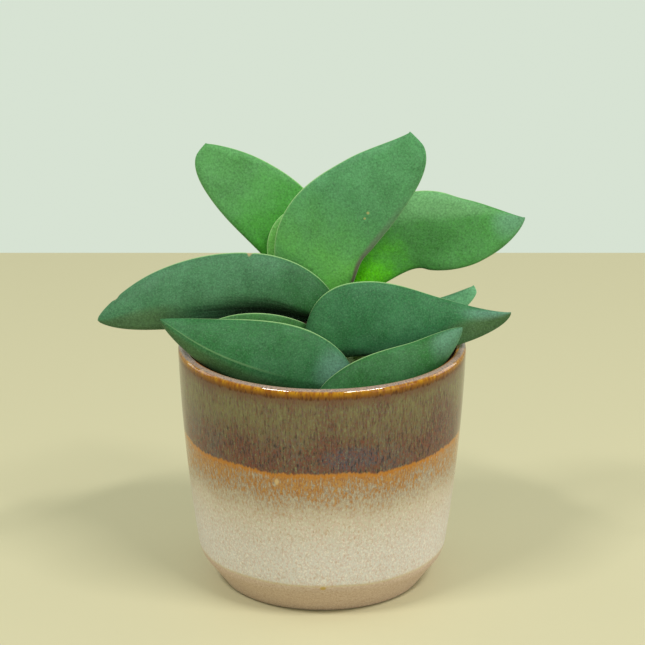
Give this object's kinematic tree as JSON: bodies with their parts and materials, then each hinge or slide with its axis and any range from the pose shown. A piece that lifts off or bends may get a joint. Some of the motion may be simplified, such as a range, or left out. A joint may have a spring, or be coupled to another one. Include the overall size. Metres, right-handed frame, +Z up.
{
  "type": "potted crassula",
  "caption": "Young propeller-plant crassula with thick, flat blue-green leaves in opposite pairs on a short stem, in a round stoneware pot with a banded glaze.",
  "frame": {"origin": "centre of the pot's flat foot, on the surface it stands on and on the pot's own axis", "axes": "+Z up along the pot's axis; the plant's broad side, where the leaves are seen flat, faces -Y, and +X is to the right of it"},
  "size_m": [0.163, 0.11, 0.179],
  "materials": {
    "stoneware": "gloss",
    "potting_soil": "matte",
    "stem": "satin",
    "leaf": "satin"
  },
  "bodies": {
    "root": {"pot": "stoneware", "soil": "potting_soil", "stem": "stem", "leaf_1_left": "leaf", "leaf_1_right": "leaf", "leaf_2_left": "leaf", "leaf_2_right": "leaf", "leaf_3_left": "leaf", "leaf_3_right": "leaf", "leaf_4_left": "leaf", "leaf_4_right": "leaf", "leaf_5_left": "leaf", "leaf_5_right": "leaf"}
  },
  "joints": []
}
